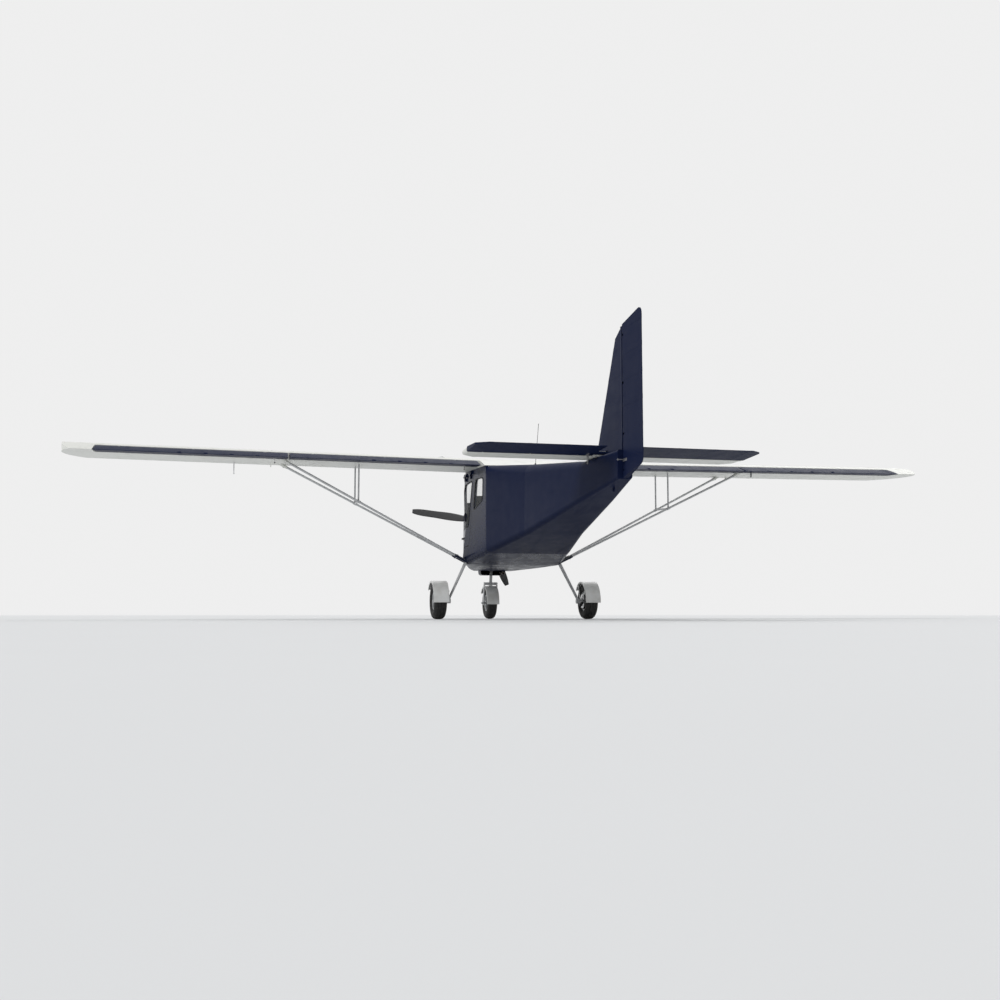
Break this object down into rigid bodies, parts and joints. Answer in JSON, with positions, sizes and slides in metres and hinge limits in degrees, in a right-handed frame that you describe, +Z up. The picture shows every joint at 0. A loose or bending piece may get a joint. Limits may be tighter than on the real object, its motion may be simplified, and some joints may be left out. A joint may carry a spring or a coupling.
{
  "type": "two-seat high-wing microlight aeroplane",
  "caption": "High-wing strut-braced microlight aeroplane on a nose-wheel undercarriage, with a tractor propeller, hinged cabin doors and moving control surfaces.",
  "frame": {"origin": "on the ground under the middle of the aircraft's bounding box", "axes": "+X forward towards the propeller, +Y to port, +Z up"},
  "size_m": [6.2, 9.4718, 2.4197],
  "materials": {
    "white_fabric": "white fabric skin over a frame, semi-gloss",
    "navy_fabric": "dark navy fabric skin over a frame, glossy",
    "navy_panel": "dark navy gloss panels",
    "white_plastic": "white gloss",
    "dark_plastic": "matt black",
    "seat_fabric": "woven charcoal",
    "clear": "clear with a slight tint",
    "strut_metal": "light grey",
    "gear_steel": "light grey paint",
    "sheet_metal": "bare sheet",
    "engine_metal": "dark cast metal",
    "rubber": "black"
  },
  "bodies": {
    "airframe": {"back_cushion_left": "seat_fabric", "back_cushion_right": "seat_fabric", "cabin_side_left": "navy_panel", "cabin_side_right": "navy_panel", "control_stick": "dark_plastic", "cowl_lower": "navy_panel", "cowl_upper": "navy_panel", "engine_block": "engine_metal", "exhaust": "engine_metal", "fin": "navy_fabric", "firewall": "sheet_metal", "floor_pan": "navy_panel", "front_struts": "strut_metal", "instrument_panel": "dark_plastic", "jury_struts": "strut_metal", "main_legs": "gear_steel", "main_mudguards": "white_plastic", "nose_bearing": "gear_steel", "rear_bulkhead": "dark_plastic", "rear_struts": "strut_metal", "rear_windows": "clear", "roof": "white_fabric", "seat_cushion_left": "seat_fabric", "seat_cushion_right": "seat_fabric", "seat_frame": "dark_plastic", "stabiliser": "white_fabric", "tail_cone": "navy_fabric", "windscreen": "clear", "wing_left": "white_fabric", "wing_right": "white_fabric", "wing_tips": "white_fabric"},
    "propeller": {"propeller": "dark_plastic", "spinner": "white_plastic"},
    "wheel_left": {"tyre_left": "rubber", "rim_left": "strut_metal"},
    "wheel_right": {"tyre_right": "rubber", "rim_right": "strut_metal"},
    "steering_fork": {"nose_fork": "gear_steel", "nose_mudguard": "white_plastic"},
    "nose_wheel": {"tyre_nose": "rubber", "rim_nose": "strut_metal"},
    "flap_left": {"flap_left": "navy_fabric"},
    "flap_right": {"flap_right": "navy_fabric"},
    "aileron_left": {"aileron_left": "navy_fabric"},
    "aileron_right": {"aileron_right": "navy_fabric"},
    "elevator": {"elevator": "navy_fabric"},
    "rudder": {"rudder": "navy_fabric"},
    "door_left": {"door_left": "navy_panel", "door_glass_left": "clear"},
    "door_right": {"door_right": "navy_panel", "door_glass_right": "clear"}
  },
  "joints": [
    {"name": "propeller_spin", "type": "hinge", "parent": "airframe", "child": "propeller", "pos_m": [2.83, 0, 1.23], "axis": [1, 0, 0], "continuous": true},
    {"name": "wheel_left_spin", "type": "hinge", "parent": "airframe", "child": "wheel_left", "pos_m": [1.04, 0.85, 0.2], "axis": [0, 1, 0], "continuous": true},
    {"name": "wheel_right_spin", "type": "hinge", "parent": "airframe", "child": "wheel_right", "pos_m": [1.04, -0.85, 0.2], "axis": [0, 1, 0], "continuous": true},
    {"name": "nose_steering", "type": "hinge", "parent": "airframe", "child": "steering_fork", "pos_m": [2.29, 0, 0.19], "axis": [-0.2079, 0, 0.9781], "range_deg": [-20, 20]},
    {"name": "nose_wheel_spin", "type": "hinge", "parent": "steering_fork", "child": "nose_wheel", "pos_m": [2.29, 0, 0.19], "axis": [0, 1, 0], "continuous": true},
    {"name": "flap_left_hinge", "type": "hinge", "parent": "airframe", "child": "flap_left", "pos_m": [0.61444, 1.5, 1.668], "axis": [0, -0.9999, -0.0105], "range_deg": [0, 35]},
    {"name": "aileron_left_hinge", "type": "hinge", "parent": "airframe", "child": "aileron_left", "pos_m": [0.61444, 3.45, 1.68842], "axis": [0, -0.9999, -0.0105], "range_deg": [-20, 20]},
    {"name": "door_left_hinge", "type": "hinge", "parent": "airframe", "child": "door_left", "pos_m": [1.2, 0.492, 1.604], "axis": [1, 0, 0], "range_deg": [0, 80]},
    {"name": "flap_right_hinge", "type": "hinge", "parent": "airframe", "child": "flap_right", "pos_m": [0.61444, -1.5, 1.668], "axis": [0, -0.9999, 0.0105], "range_deg": [0, 35]},
    {"name": "aileron_right_hinge", "type": "hinge", "parent": "airframe", "child": "aileron_right", "pos_m": [0.61444, -3.45, 1.68842], "axis": [0, -0.9999, 0.0105], "range_deg": [-20, 20]},
    {"name": "door_right_hinge", "type": "hinge", "parent": "airframe", "child": "door_right", "pos_m": [1.2, -0.492, 1.604], "axis": [-1, 0, 0], "range_deg": [0, 80]},
    {"name": "elevator_hinge", "type": "hinge", "parent": "airframe", "child": "elevator", "pos_m": [-2.29, 0, 1.382], "axis": [0, -1, 0], "range_deg": [-25, 20]},
    {"name": "rudder_hinge", "type": "hinge", "parent": "airframe", "child": "rudder", "pos_m": [-2.716, 0, 1.8], "axis": [0, 0, 1], "range_deg": [-25, 25]}
  ],
  "couplings": [
    {"joint": "flap_right_hinge", "follows": "flap_left_hinge", "ratio": 1},
    {"joint": "aileron_right_hinge", "follows": "aileron_left_hinge", "ratio": -1}
  ]
}
